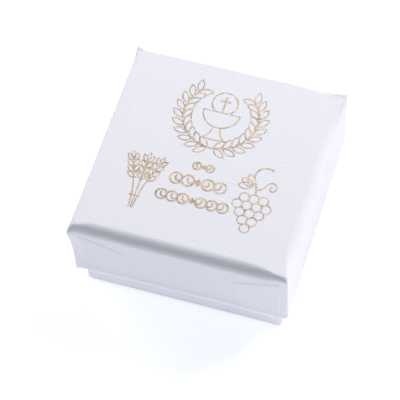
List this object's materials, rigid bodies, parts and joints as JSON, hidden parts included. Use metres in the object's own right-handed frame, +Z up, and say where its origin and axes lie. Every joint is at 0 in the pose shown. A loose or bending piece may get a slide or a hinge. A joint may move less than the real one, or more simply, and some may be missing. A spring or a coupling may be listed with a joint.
{
  "type": "earring box",
  "caption": "Small square rigid paper-covered gift box with a deep lift-off lid, gold foil ornament and a slit velvet insert for earrings.",
  "frame": {"origin": "on the floor, under the middle of the closed box", "axes": "+Z up through the lid, -Y the front, +X to the right seen from the front"},
  "size_m": [0.052, 0.0522, 0.026],
  "materials": {
    "wrapping_paper": "white, linen embossed, matt",
    "greyboard": "raw greyboard",
    "stay_tape": "gummed paper tape",
    "liner_paper": "smooth uncoated white",
    "foam": "open-cell polyurethane",
    "velvet": "flocked velvet face",
    "foil": "gold hot-stamped foil"
  },
  "bodies": {
    "tray": {"base_board": "greyboard", "base_corner_stays": "stay_tape", "base_wrap": "wrapping_paper", "base_liner": "liner_paper"},
    "insert": {"insert_foam": "foam", "insert_velvet": "velvet"},
    "lid": {"lid_board": "greyboard", "lid_corner_stays": "stay_tape", "lid_wrap": "wrapping_paper", "lid_liner": "liner_paper", "lid_pad": "foam", "foil_wreath": "foil", "foil_cup": "foil", "foil_wheat": "foil", "foil_grapes": "foil", "foil_scrolls": "foil"}
  },
  "joints": [
    {"name": "lid_lift", "type": "slide", "parent": "tray", "child": "lid", "axis": [0, 0, 1], "range_m": [0, 0.045]},
    {"name": "insert_lift", "type": "slide", "parent": "tray", "child": "insert", "axis": [0, 0, 1], "range_m": [0, 0.008]}
  ]
}
